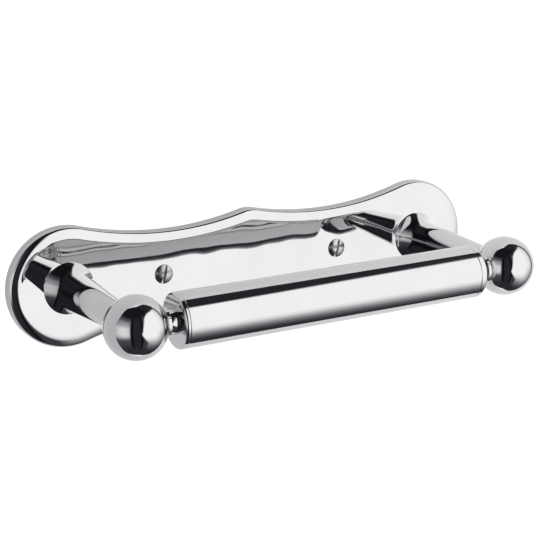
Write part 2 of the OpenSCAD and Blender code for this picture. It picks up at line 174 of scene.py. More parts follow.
class Shape:
    """Vertices in millimetres with their normals, and faces of three or four corners."""

    def __init__(self):
        self.points, self.normals, self.faces = [], [], []

    def ring(self, points, normals):
        start = len(self.points)
        self.points.extend(tuple(p) for p in points)
        self.normals.extend(tuple(n) for n in normals)
        return list(range(start, len(self.points)))

    def band(self, a, b):
        """Joins two rings. A ring of one vertex is a pole."""
        n = max(len(a), len(b))
        for j in range(n):
            k = (j + 1) % n
            if len(a) == 1:
                self.faces.append((a[0], b[j], b[k]))
            elif len(b) == 1:
                self.faces.append((a[j], b[0], a[k]))
            else:
                self.faces.append((a[j], b[j], b[k], a[k]))

    def lathe(self, profile, place, seg, closed=True):
        """Turns a profile of (point, normal) pairs, and returns its rings."""
        m = np.array(place, float)
        turn = np.arange(seg) * 2 * math.pi / seg
        cos, sin, flat = np.cos(turn), np.sin(turn), np.ones(seg)
        rings = []
        for p, n in profile:
            if p[0] < ON_AXIS:
                local, facing = np.array([[0, 0, p[1]]]), np.array([[0, 0, n[1]]])
            else:
                local = np.stack([p[0] * cos, p[0] * sin, p[1] * flat], 1)
                facing = np.stack([n[0] * cos, n[0] * sin, n[1] * flat], 1)
            rings.append(self.ring(local @ m[:3, :3].T + m[:3, 3], facing @ m[:3, :3].T))
        for i in range(len(rings) if closed else len(rings) - 1):
            a, b = rings[i], rings[(i + 1) % len(rings)]
            if len(a) > 1 or len(b) > 1:
                self.band(a, b)
        return rings

    def flat(self, loops):
        """Fills the space between loops of vertices that lie in one plane square to Y."""
        points = [[self.points[i] for i in ring] for ring in loops]
        outlines = [[Vector((p[0], p[2], 0)) for p in ring] for ring in points]
        order = [i for ring in loops for i in ring]
        self.faces += [tuple(order[i] for i in tri) for tri in tessellate_polygon(outlines)]

    def object(self, name, sharp=None):
        """The Blender object, with each face turned the way that its normals point.

        Edges that turn more than sharp, in degrees, are hard. Without it the stored normals stay.
        """
        p, nrm = np.array(self.points, float), np.array(self.normals, float)
        faces = []
        for f in self.faces:
            if len(f) == 4:
                facing = np.cross(p[f[2]] - p[f[0]], p[f[3]] - p[f[1]])
            else:
                facing = np.cross(p[f[1]] - p[f[0]], p[f[2]] - p[f[0]])
            faces.append(f if facing @ nrm[list(f)].sum(0) >= 0 else f[::-1])
        mesh = bpy.data.meshes.new(name)
        mesh.from_pydata((p * MM).tolist(), [], faces)
        mesh.polygons.foreach_set("use_smooth", [True] * len(faces))
        mesh.update()
        if sharp is None:
            mesh.normals_split_custom_set_from_vertices(nrm.tolist())
        else:
            mesh.set_sharp_from_angle(angle=math.radians(sharp))
        return add_object(name, mesh)


def dress(obj, material, body, node):
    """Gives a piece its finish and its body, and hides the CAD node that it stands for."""
    obj.data.materials.clear()
    obj.data.materials.append(material)
    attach(obj, body)
    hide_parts(node)


# Materials ----------------------------------------------------------------


class Nodes:
    """A short way to write a node tree."""

    def __init__(self, tree):
        self.tree = tree
        tree.nodes.clear()

    def add(self, kind, inputs=(), **settings):
        node = self.tree.nodes.new(kind)
        for key, value in settings.items():
            setattr(node, key, value)
        for key, value in dict(inputs).items():
            self.put(value, node.inputs[key])
        return node

    def put(self, value, socket):
        if isinstance(value, bpy.types.NodeSocket):
            self.tree.links.new(value, socket)
        else:
            socket.default_value = value

    def noise(self, where, scale, detail=2.0, rough=0.5):
        node = self.add(
            "ShaderNodeTexNoise",
            {"Vector": where, "Scale": scale, "Detail": detail, "Roughness": rough},
        )
        return node.outputs["Fac"]

    def span(self, value, low, high, start=0.3, end=0.7):
        """Maps a noise from its usual range to low and high."""
        node = self.add(
            "ShaderNodeMapRange",
            {"Value": value, "From Min": start, "From Max": end, "To Min": low, "To Max": high},
        )
        return node.outputs["Result"]

    def calc(self, operation, a, b):
        return self.add("ShaderNodeMath", {0: a, 1: b}, operation=operation).outputs[0]

    def mix(self, share, a, b):
        """Mixes two colours, at the sockets that a mix node has for them."""
        node = self.add("ShaderNodeMix", {0: share, 6: a, 7: b}, data_type="RGBA")
        return node.outputs[2]

    def mix_shader(self, share, a, b):
        return self.add("ShaderNodeMixShader", {0: share, 1: a, 2: b}).outputs[0]

    def bump(self, height, distance, under=None):
        """A bump of so many metres, on top of another one where that is given."""
        inputs = {"Height": height, "Strength": 1.0, "Distance": distance}
        if under is not None:
            inputs["Normal"] = under
        return self.add("ShaderNodeBump", inputs).outputs["Normal"]


def new_material(name):
    mat = bpy.data.materials.new(name)
    mat.use_nodes = True
    return mat, Nodes(mat.node_tree)


# Noise scales per metre, and how far the grain is drawn out along its axis
BENDS, CLOUDS, SWELLS, LINES = 24.0, 55.0, 120.0, 5200.0
GRAIN_STRETCH = 0.04


def metal(name, tone, tint, rough, wave, grain_axis, grain=0.0, bend=0.0):
    """Plated or bare metal: cloudy polish, faint wear lines along the grain and a slight waviness.

    Rough holds the least and most roughness of the clouds, and what the lines add. Wave, grain and
    bend are the heights of the bumps in metres.
    """
    mat, t = new_material(name)
    where = t.add("ShaderNodeTexCoord").outputs["Object"]
    stretch = [1.0, 1.0, 1.0]
    stretch[grain_axis] = GRAIN_STRETCH
    along = t.add("ShaderNodeMapping", {"Vector": where, "Scale": stretch}).outputs["Vector"]
    clouds = t.noise(where, CLOUDS, detail=3.0)
    lines = t.noise(along, LINES, rough=0.6)
    colour = t.mix(t.span(clouds, 0.0, 1.0), tone, tint)
    polish = t.calc("ADD", t.span(clouds, rough[0], rough[1]), t.span(lines, 0.0, rough[2]))
    slow = t.bump(t.noise(where, BENDS), bend)
    low = t.bump(t.noise(where, SWELLS, detail=1.0), wave, slow)
    bsdf = t.add(
        "ShaderNodeBsdfPrincipled",
        {
            "Base Color": colour, "Metallic": 1.0, "Roughness": polish,
            "Normal": t.bump(lines, grain, low),
        },
    )  # fmt: skip
    t.add("ShaderNodeOutputMaterial", {"Surface": bsdf.outputs["BSDF"]})
    return mat


def grey(level):
    return (level, level, level, 1.0)


# Chrome is a trace cooler than grey
CHROME, CHROME_DEEP = (0.647, 0.645, 0.653, 1.0), (0.622, 0.62, 0.63, 1.0)
plate_chrome = metal("plate_chrome", CHROME, CHROME_DEEP, (0.012, 0.03, 0.012), 8e-7, 0, 2e-9, 5e-4)
post_chrome = metal("post_chrome", CHROME, CHROME_DEEP, (0.012, 0.03, 0.015), 5e-7, 2, 2e-9)
ball_chrome = metal("ball_chrome", CHROME, CHROME_DEEP, (0.01, 0.025, 0.01), 3e-7, 2, 1e-9)
roller_chrome = metal("roller_chrome", CHROME, CHROME_DEEP, (0.03, 0.07, 0.03), 5e-7, 0, 2e-9)
pin_chrome = metal("pin_chrome", CHROME, CHROME_DEEP, (0.02, 0.05, 0.03), 5e-7, 2, 4e-9)
screw_chrome = metal("screw_chrome", grey(0.6), grey(0.48), (0.12, 0.24, 0.08), 6e-6, 2, 2e-8)
plain_steel = metal("plain_steel", grey(0.5), grey(0.42), (0.2, 0.34, 0.12), 3e-6, 2, 2e-8)
spring_steel = metal("spring_steel", grey(0.42), grey(0.34), (0.24, 0.36, 0.1), 2e-6, 2, 2e-8)

# Backplate ----------------------------------------------------------------
LOBE_R, WAIST_HALF, WAIST_X, PEAK_R = 25.3, 18.3, 37.0, 15.0
BORDER_W, EDGE_R, BORDER_TILT = 5.2, 1.8, 20.0
WAIST_R = ((POST_X - WAIST_X) ** 2 + WAIST_HALF**2 - LOBE_R**2) / (2 * (LOBE_R - WAIST_HALF))
WAIST_Z = WAIST_HALF + WAIST_R
PEAK_Z = WAIST_Z - math.sqrt((WAIST_R + PEAK_R) ** 2 - WAIST_X**2)
LOBE_TURN = math.degrees(math.atan2(WAIST_Z, WAIST_X - POST_X))
PEAK_TURN = math.degrees(math.asin(WAIST_X / (WAIST_R + PEAK_R)))
EDGE_TURN = 90 - BORDER_TILT
DOME_R = (BORDER_W - EDGE_R * (1 - math.cos(math.radians(EDGE_TURN)))) / math.sin(
    math.radians(BORDER_TILT)
)
WALL_H = (
    PLATE_T
    - DOME_R * (1 - math.cos(math.radians(BORDER_TILT)))
    - EDGE_R * math.sin(math.radians(EDGE_TURN))
)
BACK_R = 0.3
HOLE_LIP = 0.25  # flat ring round a hole
BACK_STEPS, EDGE_STEPS, DOME_STEPS, HOLE_SEG = 3, 14, 14, 64


def plate_outline():
    """The outline as points with the direction that leads out of the plate."""
    arcs = [
        ((POST_X, 0), LOBE_R, -LOBE_TURN, LOBE_TURN, 150, 1),
        ((WAIST_X, WAIST_Z), WAIST_R, 180 + LOBE_TURN, 270 - PEAK_TURN, 56, -1),
        ((0, PEAK_Z), PEAK_R, 90 - PEAK_TURN, 90 + PEAK_TURN, 16, 1),
        ((-WAIST_X, WAIST_Z), WAIST_R, 270 + PEAK_TURN, 360 - LOBE_TURN, 56, -1),
    ]
    half = []
    for mid, r, start, end, steps, side in arcs:
        half += arc(mid, r, start, end, steps, side)[:-1]
    line = np.array(half)
    return np.concatenate([line, -line])


def plate_section():
    """Rings from the back to the field: inset, height, outward and upward part of the normal."""
    rows = []
    for i in range(BACK_STEPS + 1):
        t = math.radians(-90 + 90 * i / BACK_STEPS)
        c, s = math.cos(t), math.sin(t)
        rows.append((BACK_R * (1 - c), BACK_R * (1 + s), c, s))
    for i in range(EDGE_STEPS + 1):
        t = math.radians(EDGE_TURN * i / EDGE_STEPS)
        c, s = math.cos(t), math.sin(t)
        rows.append((EDGE_R * (1 - c), WALL_H + EDGE_R * s, c, s))
    for i in range(1, DOME_STEPS + 1):
        t = math.radians(BORDER_TILT * (1 - i / DOME_STEPS))
        c, s = math.cos(t), math.sin(t)
        rows.append((BORDER_W - DOME_R * s, PLATE_T - DOME_R * (1 - c), s, c))
    return rows


def make_backplate():
    shape = Shape()
    line = plate_outline()
    rings = []
    for inset, h, out, up in plate_section():
        at = line[:, :2] - inset * line[:, 2:]
        points = np.stack([at[:, 0], np.full(len(at), -h), at[:, 1]], 1)
        facing = np.stack([out * line[:, 2], np.full(len(at), -up), out * line[:, 3]], 1)
        rings.append(shape.ring(points, facing))
    for a, b in zip(rings, rings[1:]):
        shape.band(a, b)
    head, shank = SCREW_HEAD_R + FIT_GAP, SCREW_R + HOLE_GAP
    rim, bore = POST_HEAD_R + FIT_GAP, STUD_R + HOLE_GAP
    wall_hole = [
        (head + HOLE_LIP, PLATE_T), (head, PLATE_T), (shank, PLATE_T - head + shank),
        (shank, 0), (shank + HOLE_LIP, 0),
    ]  # fmt: skip
    post_hole = [
        (bore + HOLE_LIP, PLATE_T), (bore, PLATE_T), (bore, POST_RIM + rim - bore),
        (rim, POST_RIM), (rim, 0), (rim + HOLE_LIP, 0),
    ]  # fmt: skip
    fronts, backs = [rings[-1]], [rings[0]]
    for corners, from_middle in ((wall_hole, SCREW_X), (post_hole, POST_X)):
        profile = soften(corners, closed=False, way=1)
        for x in (-from_middle, from_middle):
            made = shape.lathe(profile, outwards(x), HOLE_SEG, closed=False)
            fronts.append(made[0])
            backs.append(made[-1])
    shape.flat(fronts)
    shape.flat(backs)
    return shape.object("Backplate")


# Fixings ------------------------------------------------------------------
SCREW_X, SCREW_HEAD_R, SCREW_R, SCREW_SHANK_R = 42.5, 4.1, 2.1, 1.7
SCREW_LEN, SCREW_DOME, POINT_LEN = 32.0, 1.2, 6.0
SLOT_W, SLOT_DEPTH, HEAD_LAND = 1.2, 1.4, 0.3
STUD_R, POST_HEAD_R = 2.5, 4.6
POST_RIM = END_GAP + HEAD_LAND
THREAD_PITCH, THREAD_ROOT = 1.8, 1.45
# Half width of the thread in turns, the length over which it rises from the shank, how the point
# curves, and how much of the thread is left at its tip
CREST_HALF, THREAD_FADE, POINT_CURVE, POINT_CREST = 0.26, 1.2, 0.8, 0.25
THREAD_END, SCREW_SEG, THREAD_STEPS = 0.2, 48, 14
SCREW_FILLET, SHARP, SLOT_LEAN = 0.1, 35, 15


def thread_radius(h, turn, top, point):
    """Radius of the wood thread at height h and turn, which runs out at both ends."""
    phase = (h / THREAD_PITCH - turn / (2 * math.pi)) % 1.0
    crest = max(0.0, 1.0 - abs(phase - 0.5) / CREST_HALF)
    fade = min(1.0, max(0.0, (top - h) / THREAD_FADE))
    taper = min(1.0, max(0.0, (h - point) / POINT_LEN)) ** POINT_CURVE
    root = SCREW_SHANK_R + (THREAD_ROOT - SCREW_SHANK_R) * fade
    return root * taper + (SCREW_R - THREAD_ROOT) * crest * fade * min(1.0, POINT_CREST + taper)


def make_wall_screw(name, x):
    """A raised countersunk wood screw, with its slot and a rolled thread."""
    seg, point, top = SCREW_SEG, PLATE_T - SCREW_LEN, SCREW_SHANK_R - SCREW_R - END_GAP
    place = np.array(outwards(x), float)
    shape = Shape()
    rings = []

    def ring(radii, h):
        turn = np.arange(seg) * 2 * math.pi / seg
        radii = np.broadcast_to(radii, (seg,))
        local = np.stack([radii * np.cos(turn), radii * np.sin(turn), np.full(seg, h)], 1)
        facing = np.stack([np.cos(turn), np.sin(turn), np.zeros(seg)], 1)
        rings.append(shape.ring(local @ place[:3, :3].T + place[:3, 3], facing @ place[:3, :3].T))

    steps = int((top + THREAD_END - point) / (THREAD_PITCH / THREAD_STEPS))
    for i in range(1, steps + 1):
        h = point + (top + THREAD_END - point) * i / steps
        ring([thread_radius(h, 2 * math.pi * j / seg, top, point) for j in range(seg)], h)
    cone = PLATE_T - SCREW_HEAD_R + SCREW_SHANK_R
    ball_r = (SCREW_HEAD_R**2 + SCREW_DOME**2) / (2 * SCREW_DOME)
    half = math.degrees(math.asin(SCREW_HEAD_R / ball_r))
    crown = PLATE_T + HEAD_LAND + SCREW_DOME
    head = [
        (SCREW_SHANK_R, top + 2 * THREAD_END), (SCREW_SHANK_R, cone), (SCREW_HEAD_R, PLATE_T),
        (SCREW_HEAD_R, PLATE_T + HEAD_LAND),
        *arc((0, crown - ball_r), ball_r, 90 - half, 90, steps=12),
    ]  # fmt: skip
    for p, _ in soften(head, SCREW_FILLET, closed=False, way=1)[:-1]:
        ring(p[0], p[1])
    for a, b in zip(rings, rings[1:]):
        shape.band(a, b)
    for at, h, way in ((rings[0], point, -1), (rings[-1], crown, 1)):
        tip = shape.ring([(x, -h, 0)], [(0, -way, 0)])
        shape.band(at, tip)
    screw = shape.object(name, SHARP)
    cut_slot(screw, x, crown)
    return screw


def cut_slot(screw, x, crown):
    """Cuts the slot with a block that stands across the head's crown."""
    size = (SLOT_W, 2 * SLOT_DEPTH, 4 * SCREW_HEAD_R)
    middle = Matrix.Translation(Vector((x, -crown, 0)) * MM)
    turn = Matrix.Rotation(math.radians(SLOT_LEAN), 4, "Y")
    bm = bmesh.new()
    block = middle @ turn @ Matrix.Diagonal((*(s * MM for s in size), 1))
    bmesh.ops.create_cube(bm, size=1.0, matrix=block)
    cutter_mesh = bpy.data.meshes.new("cutter")
    bm.to_mesh(cutter_mesh)
    bm.free()
    cutter = add_object("cutter", cutter_mesh)
    cut = screw.modifiers.new("slot", "BOOLEAN")
    cut.operation, cut.object, cut.solver = "DIFFERENCE", cutter, "EXACT"
    graph = bpy.context.evaluated_depsgraph_get()
    made = bpy.data.meshes.new_from_object(screw.evaluated_get(graph))
    screw.modifiers.clear()
    screw.data = made
    made.polygons.foreach_set("use_smooth", [True] * len(made.polygons))
    made.set_sharp_from_angle(angle=math.radians(SHARP))
    bpy.data.objects.remove(cutter)
    bpy.data.meshes.remove(cutter_mesh)


# Posts and balls ----------------------------------------------------------
BALL_REACH = 66.6
# The foot is a bell, where the CAD source has a bead. It starts BELL_START degrees past its widest.
FOOT_R, BELL_R, BELL_START, COVE_R = 10.95, 5.5, 20.0, 20.0
ROOT_R, TIP_R, NECK_R, BALL_FLAT_R = 8.55, 4.35, 2.5, 5.95
STUD_DEPTH, TAP_EXTRA, POST_SCREW_DEPTH = 6.0, 1.5, 10.0
POST_FILLET, POST_SEG = 0.05, 160
TAPER = (ROOT_R - TIP_R) / BALL_REACH
TAPER_TURN = math.atan(TAPER)
SHANK_FLAT = math.sqrt(BALL_R**2 - BALL_FLAT_R**2)
SHANK_LEN = BALL_REACH - SHANK_FLAT
TAP_R = STUD_R + FIT_GAP


def cone_arc_mid(p, p_r, r, way):
    """Middle of an arc that touches the shank's cone, and a circle about p on side way of it."""
    line = ROOT_R + r / math.cos(TAPER_TURN) - p[0]
    b = p[1] + TAPER * line
    q = p[1] ** 2 + line**2 - (p_r + r) ** 2
    k = 1 + TAPER**2
    h = (b + way * math.sqrt(b**2 - k * q)) / k
    return p[0] + line - TAPER * h, h


def post_profile():
    start = math.radians(BELL_START)
    bell = (FOOT_R - BELL_R * math.cos(start), -BELL_R * math.sin(start))
    cove = cone_arc_mid(bell, BELL_R, COVE_R, 1)
    neck = cone_arc_mid((BALL_FLAT_R, SHANK_LEN), 0, NECK_R, -1)
    cove_turn = math.degrees(math.atan2(cove[1] - bell[1], cove[0] - bell[0]))
    neck_turn = math.degrees(math.atan2(SHANK_LEN - neck[1], BALL_FLAT_R - neck[0])) % 360
    taper = math.degrees(TAPER_TURN)
    high, low = SHANK_LEN - STUD_DEPTH - TAP_EXTRA, POST_SCREW_DEPTH + TAP_EXTRA
    outline = [(TAP_R, 0)]
    outline += arc(bell, BELL_R, BELL_START, cove_turn)
    outline += arc(cove, COVE_R, 180 + cove_turn, 180 + taper, steps=32, side=-1)
    outline += arc(neck, NECK_R, 180 + taper, neck_turn, steps=12, side=-1)
    outline += [(TAP_R, SHANK_LEN), (TAP_R, high), (0, high), (0, low), (TAP_R, low)]
    return [(c[0], c[1] + PLATE_T, *c[2:]) for c in outline]


def make_post(name, side):
    shape = Shape()
    shape.lathe(soften(post_profile(), POST_FILLET), outwards(side * POST_X), POST_SEG)
    return shape.object(name)


# The collar is straight, where the CAD source flares it, and its rim stands out by the lip
COLLAR_R, COLLAR_FILLET, COLLAR_REACH, COLLAR_LIP = 5.95, 0.3, 12.1023, 0.15
SOCKET_BEVEL, NOSE_R, TRAVEL = 0.3, 4.0, 4.15
SOCKET_R = NOSE_R + RUN_GAP
BALL_FILLET, BALL_SEG, TAP_FILLET, TAP_LIP, TAP_SEG = 0.08, 144, 0.05, 0.2, 48
MATCH_DIGITS, CUT_REACH = 4, 1e-6  # how finely corners are matched after the cut, and cut


def make_ball(name, side):
    """Ball and collar turned about the roller's axis, then cut flat and tapped for the post."""
    mid_r = COLLAR_R + COLLAR_FILLET
    mid_h = math.sqrt((BALL_R + COLLAR_FILLET) ** 2 - mid_r**2)
    touch = math.degrees(math.atan2(mid_h, mid_r))
    outline = arc((0, 0), BALL_R, -90, touch, steps=72)
    outline += arc((mid_r, mid_h), COLLAR_FILLET, 180 + touch, 180, steps=16, side=-1)
    outline += [
        (COLLAR_R, COLLAR_REACH + COLLAR_LIP), (SOCKET_R + SOCKET_BEVEL, COLLAR_REACH + COLLAR_LIP),
        (SOCKET_R, COLLAR_REACH - SOCKET_BEVEL), (SOCKET_R, COLLAR_REACH - TRAVEL),
        (0, COLLAR_REACH - TRAVEL),
    ]  # fmt: skip
    place = leftwards(POST_X) if side > 0 else rightwards(-POST_X)
    uncut = Shape()
    uncut.lathe(soften(outline, BALL_FILLET), place, BALL_SEG)
    known = {tuple(np.round(p, MATCH_DIGITS)): n for p, n in zip(uncut.points, uncut.normals)}
    middle = np.array((side * POST_X, BALL_Y, 0))
    flat_y = BALL_Y + SHANK_FLAT
    bm = bmesh.new()
    verts = [bm.verts.new(p) for p in uncut.points]
    for f in uncut.faces:
        bm.faces.new([verts[i] for i in f])
    cut = bmesh.ops.bisect_plane(
        bm, geom=bm.verts[:] + bm.edges[:] + bm.faces[:], plane_co=(0, flat_y, 0),
        plane_no=(0, 1, 0), clear_outer=True, dist=CUT_REACH,
    )  # fmt: skip
    bm.verts.ensure_lookup_table()
    bm.verts.index_update()
    shape = Shape()
    for v in bm.verts:
        p = np.array(v.co)
        n = known.get(tuple(np.round(p, MATCH_DIGITS)))
        shape.ring([p], [n if n is not None else unit(p - middle)])
    shape.faces = [tuple(v.index for v in f.verts) for f in bm.faces]
    rim = [v for v in cut["geom_cut"] if isinstance(v, bmesh.types.BMVert)]
    rim.sort(key=lambda v: math.atan2(v.co.z, v.co.x - side * POST_X))
    outer = [v.index for v in rim]
    bm.free()
    deep = SHANK_FLAT - STUD_DEPTH - TAP_EXTRA
    tap = [(TAP_R + TAP_LIP, SHANK_FLAT), (TAP_R, SHANK_FLAT), (TAP_R, deep), (0, deep)]
    inwards = Matrix(((1, 0, 0, side * POST_X), (0, 0, 1, BALL_Y), (0, 1, 0, 0), (0, 0, 0, 1)))
    tap = soften(tap, TAP_FILLET, closed=False, way=1)
    shape.flat([outer, shape.lathe(tap, inwards, TAP_SEG, closed=False)[0]])
    return shape.object(name)


# Roller -------------------------------------------------------------------
ROLLER_R, TUBE_WALL, CAP_RIM, CAP_CORNER_R, SPIGOT_LEN = 11.0, 1.0, 3.0, 1.1, 8.0
CAP_WEB, CUP_WALL, SEAM_BEVEL, PIN_BEVEL = 4.5, 1.5, 0.2, 0.5
# The left cap's face sits back by the inset, and the fixed pin's shoulder swells towards it, from
# one slope to the other in degrees. The CAD source has neither, and corners of 0.9 mm on the caps.
LEFT_INSET, SWELL_START, SWELL_END = 1.1, 14.0, 2.0
SHOULDER_R, SHOULDER_T, STEM_R = 5.15, 2.2, 3.0
FLANGE_R, FLANGE_T, PIN_PLAY, GUIDE_LEN, GUIDE_R = 8.2, 2.0, 4.0, 11.5, 4.2
WASHER_T, NUT_H = 1.2, 5.0
SHOULDER_X = POST_X - COLLAR_REACH - END_GAP
FACE_LEFT, FACE_RIGHT = SHOULDER_T - SHOULDER_X, SHOULDER_X - TRAVEL
SEAM_LEFT, SEAM_RIGHT = FACE_LEFT + CAP_RIM, FACE_RIGHT - CAP_RIM
TUBE_LEN, TUBE_R = SEAM_RIGHT - SEAM_LEFT, ROLLER_R - TUBE_WALL
SPIGOT_R = TUBE_R - FIT_GAP
FLANGE_X = SEAM_RIGHT - SPIGOT_LEN - PIN_PLAY - FLANGE_T
TUBE_FILLET, CAP_FILLET, ROLLER_SEG, PIN_SEG = 0.06, 0.08, 192, 144


def turned(name, corners, place, fillet=FINE, seg=PIN_SEG):
    shape = Shape()
    shape.lathe(soften(corners, fillet), place, seg)
    return shape.object(name)


def cap_outside(hole, face):
    """A cap's outline, from the hole in its face, at height face, to the end of its spigot."""
    corner = ROLLER_R - CAP_CORNER_R
    line = [(hole, face)] + arc((corner, face + CAP_CORNER_R), CAP_CORNER_R, -90, 0, steps=16)
    line += [(ROLLER_R, CAP_RIM - SEAM_BEVEL), (ROLLER_R - SEAM_BEVEL, CAP_RIM)]
    return line + [(SPIGOT_R, CAP_RIM), (SPIGOT_R, CAP_RIM + SPIGOT_LEN)]


def make_roller():
    """The tube, its caps and the two pins, as name to object."""
    b = SEAM_BEVEL
    tube = [
        (TUBE_R, 0), (ROLLER_R - b, 0), (ROLLER_R, b), (ROLLER_R, TUBE_LEN - b),
        (ROLLER_R - b, TUBE_LEN), (TUBE_R, TUBE_LEN),
    ]  # fmt: skip
    hole, cup = STEM_R + FIT_GAP, SPIGOT_R - CUP_WALL
    left = cap_outside(hole, LEFT_INSET)
    left += [(cup, CAP_RIM + SPIGOT_LEN), (cup, CAP_WEB), (hole, CAP_WEB)]
    hole = SHOULDER_R + RUN_GAP
    right = cap_outside(hole, 0) + [(hole, CAP_RIM + SPIGOT_LEN)]
    root, b = TRAVEL + SHOULDER_T + LEFT_INSET, PIN_BEVEL
    tip = root - LEFT_INSET + CAP_WEB + WASHER_T + NUT_H + b
    start, end = math.radians(SWELL_START), math.radians(SWELL_END)
    sweep = (root - TRAVEL) / (math.sin(start) - math.sin(end))
    swell_mid = (SHOULDER_R - sweep * math.cos(end), root + sweep * math.sin(end))
    fixed = [
        (0, 0), (NOSE_R - b, 0), (NOSE_R, b), (NOSE_R, TRAVEL),
        *arc(swell_mid, sweep, -SWELL_START, -SWELL_END, steps=8),
        (STEM_R, root), (STEM_R, tip - b), (STEM_R - b, tip), (0, tip),
    ]  # fmt: skip
    sleeve, guide, tip = FLANGE_X + FLANGE_T, FLANGE_X - GUIDE_LEN, SHOULDER_X + TRAVEL
    sprung = [
        (0, guide), (GUIDE_R - b, guide), (GUIDE_R, guide + b), (GUIDE_R, FLANGE_X),
        (FLANGE_R, FLANGE_X), (FLANGE_R, sleeve), (SHOULDER_R, sleeve), (SHOULDER_R, SHOULDER_X),
        (NOSE_R, SHOULDER_X), (NOSE_R, tip - b), (NOSE_R - b, tip), (0, tip),
    ]  # fmt: skip
    on_left, on_right = rightwards(FACE_LEFT), leftwards(FACE_RIGHT)
    return {
        "roller_tube": turned("Roller_tube", tube, rightwards(SEAM_LEFT), TUBE_FILLET, ROLLER_SEG),
        "left_end_cap": turned("Left_end_cap", left, on_left, CAP_FILLET, ROLLER_SEG),
        "right_end_cap": turned("Right_end_cap", right, on_right, CAP_FILLET, ROLLER_SEG),
        "fixed_pin": turned("Fixed_pin", fixed, rightwards(-SHOULDER_X - TRAVEL)),
        "sprung_pin": turned("Sprung_pin", sprung, rightwards(0)),
    }


# Spring -------------------------------------------------------------------
SPRING_R, WIRE_D, SPRING_ROOM, OPEN_TURNS, END_TURN_GAP = 5.6, 1.2, 29.5, 7, 0.55
STEPS_PER_TURN, WIRE_SIDES = 48, 14
EASE_STEPS = 4  # steps at each side over which the pitch changes


def make_spring():
    """Round wire along the CAD spring's line: a close turn at each end and open turns between."""
    run, end_pitch = SPRING_ROOM - WIRE_D - 2 * END_GAP, WIRE_D + END_TURN_GAP
    turns, n = OPEN_TURNS + 2, EASE_STEPS
    t = np.linspace(0, turns, turns * STEPS_PER_TURN + 1)
    rise = np.interp(t, [0, 1, turns - 1, turns], [0, end_pitch, run - end_pitch, run])
    kernel = np.ones(2 * n + 1) / (2 * n + 1)
    rise = np.concatenate([rise[:n], np.convolve(rise, kernel, "valid"), rise[-n:]])
    a = 2 * math.pi * t
    start = FLANGE_X - SPRING_ROOM + END_GAP + WIRE_D / 2
    # the coil's axis points to +X and its first turn starts at -Z, as in the CAD source
    line = np.stack([start + rise, BALL_Y + SPRING_R * np.sin(a), -SPRING_R * np.cos(a)], 1)
    ahead = np.gradient(line, axis=0)
    ahead /= np.linalg.norm(ahead, axis=1)[:, None]
    radial = np.stack([np.zeros_like(a), np.sin(a), -np.cos(a)], 1)
    radial -= (radial * ahead).sum(1)[:, None] * ahead
    radial /= np.linalg.norm(radial, axis=1)[:, None]
    across = np.cross(ahead, radial)
    shape = Shape()
    rings = []
    for p, u, v in zip(line, radial, across):
        w = 2 * math.pi * np.arange(WIRE_SIDES) / WIRE_SIDES
        facing = np.outer(np.cos(w), u) + np.outer(np.sin(w), v)
        rings.append(shape.ring(p + facing * WIRE_D / 2, facing))
    for one, two in zip(rings, rings[1:]):
        shape.band(one, two)
    for p, d, ring in ((line[0], -ahead[0], rings[0]), (line[-1], ahead[-1], rings[-1])):
        shape.band(ring, shape.ring([p], [d]))
    obj = shape.object("Pin_spring")
    keep = (SPRING_ROOM - TRAVEL) / SPRING_ROOM
    anchor = ((FLANGE_X - SPRING_ROOM) * MM, BALL_Y * MM, 0)
    return obj, keep, anchor


# The pieces ---------------------------------------------------------------
dress(make_backplate(), plate_chrome, "fixed", "backplate")
for hand, side in (("left", -1), ("right", 1)):
    label = hand.capitalize()
    dress(make_post(f"{label}_post", side), post_chrome, "fixed", f"{hand}_post")
    dress(make_ball(f"{label}_ball", side), ball_chrome, "fixed", f"{hand}_ball")
    screw = make_wall_screw(f"{label}_wall_screw", side * SCREW_X)
    dress(screw, screw_chrome, "fixed", f"{hand}_wall_screw")
for node, obj in make_roller().items():
    body = "plunger" if node == "sprung_pin" else "roller"
    if node.endswith("_pin"):
        dress(obj, pin_chrome, body, node)
    else:
        dress(obj, roller_chrome, body, node)
spring, keep, anchor = make_spring()
dress(spring, spring_steel, "roller", "pin_spring")
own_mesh(spring)
for node in (
    "left_ball_stud", "right_ball_stud", "left_post_screw", "right_post_screw",
    "pin_washer", "pin_nut", "spring_seat",
):  # fmt: skip
    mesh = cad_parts[node].data
    mesh.materials.clear()
    mesh.materials.append(plain_steel)

# Studio -------------------------------------------------------------------
EYE = Vector((0, BALL_Y * MM, 0))  # the middle of the roller, which the panels surround
ROOM_R, PANEL_R = np.array((1.9, 1.9, 1.42)), np.array((1.4, 1.4, 1.4))
RED_POWER, BLUE_POWER = -0.01, -0.05


def direction(az, el):
    """Azimuth 0 is the front and 90 the right, in degrees."""
    a, e = math.radians(az), math.radians(el)
    return np.array((math.sin(a) * math.cos(e), -math.cos(a) * math.cos(e), math.sin(e)))


def ease(x, low, high):
    t = min(1.0, max(0.0, (x - low) / (high - low)))
    return t * t * (3 - 2 * t)


def glow(name, again=1.0):
    """Light of the level that a panel's corners hold, times again in a second reflection."""
    mat, t = new_material(name)
    level = t.add("ShaderNodeAttribute", attribute_name="level").outputs["Fac"]
    depth = t.add("ShaderNodeLightPath").outputs["Ray Depth"]
    light = t.calc("MULTIPLY", level, t.span(depth, 1.0, again, 1.0, 2.0))
    # the darker the level, the cooler its light
    red, blue = t.calc("POWER", level, RED_POWER), t.calc("POWER", level, BLUE_POWER)
    tint = t.add("ShaderNodeCombineColor", {"Red": red, "Green": 1.0, "Blue": blue})
    shine = t.add("ShaderNodeEmission", {"Color": tint.outputs["Color"], "Strength": light})
    t.add("ShaderNodeOutputMaterial", {"Surface": shine.outputs["Emission"]})
    return mat


